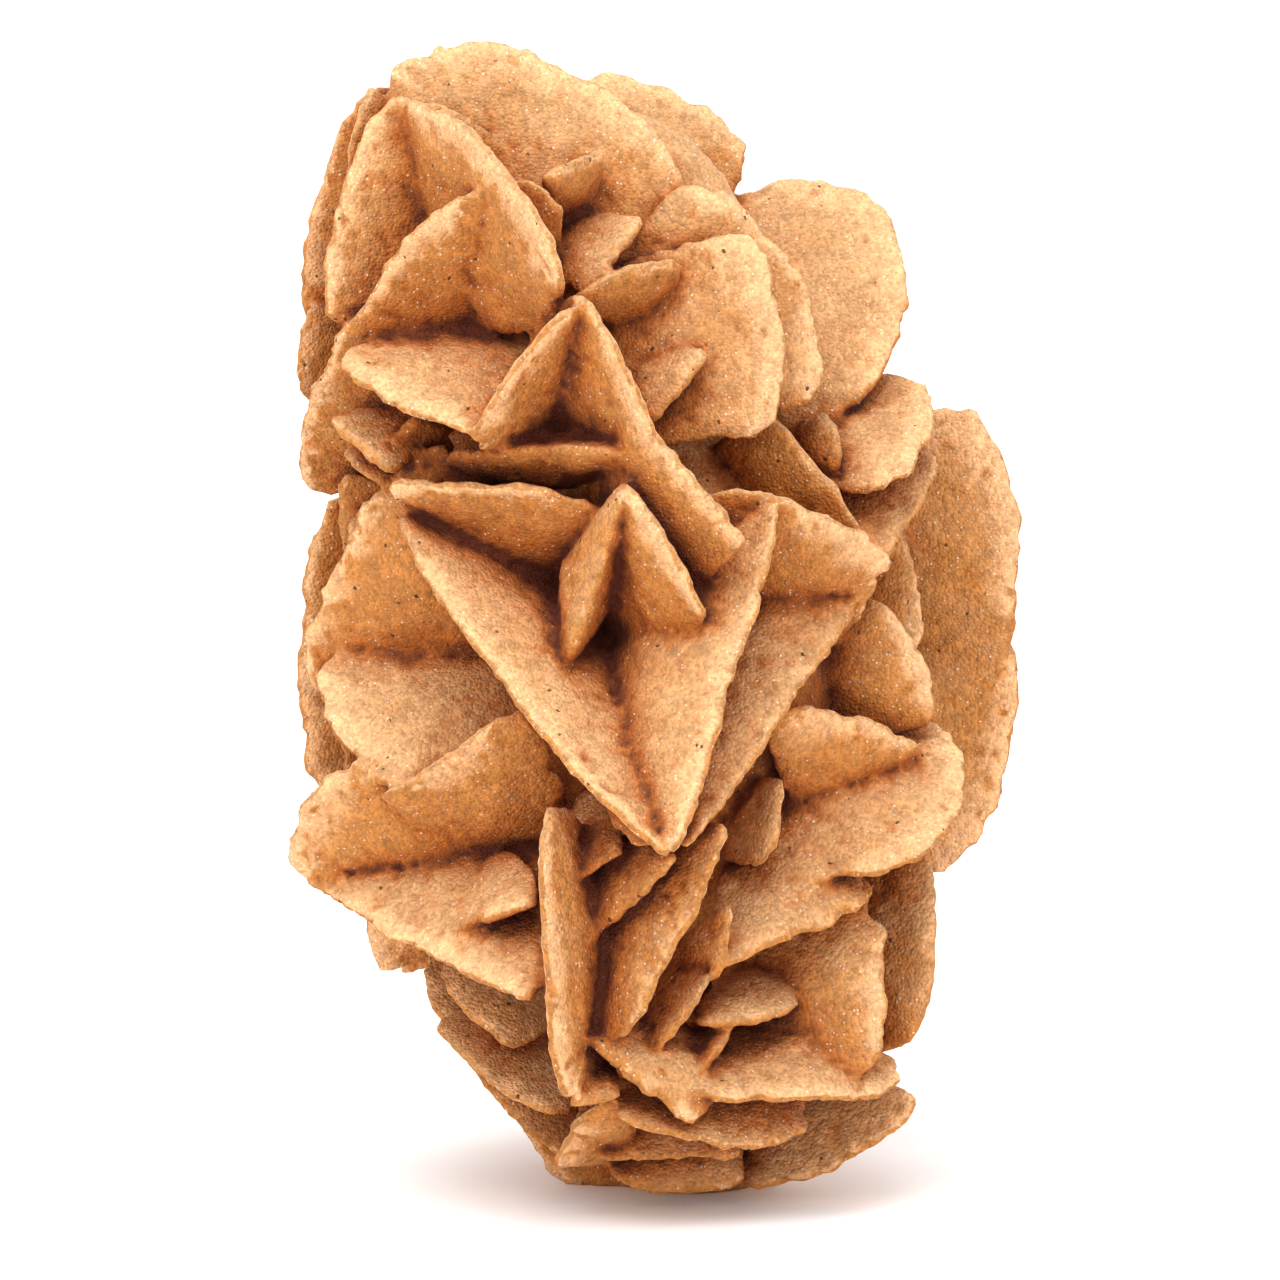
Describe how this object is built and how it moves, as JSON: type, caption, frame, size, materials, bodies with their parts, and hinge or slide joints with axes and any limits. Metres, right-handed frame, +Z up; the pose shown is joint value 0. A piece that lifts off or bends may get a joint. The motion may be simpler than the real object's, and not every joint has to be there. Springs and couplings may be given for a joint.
{
  "type": "gypsum sand rose",
  "caption": "Desert sand rose: lens-shaped sandy gypsum plates grown through one another into an upright cluster on a flat foot.",
  "frame": {"origin": "on the surface that the rose stands on, under the middle of its bounding box", "axes": "+Z up along the longest extent, -Y towards the face with the nested V of plates, +X to the right of that face"},
  "size_m": [0.0436, 0.0462, 0.0685],
  "materials": {
    "sand_gypsum": "matt granular gypsum full of fine orange-brown sand, with lighter worn rims and dark clefts"
  },
  "bodies": {
    "root": {"sand_rose": "sand_gypsum"}
  },
  "joints": []
}
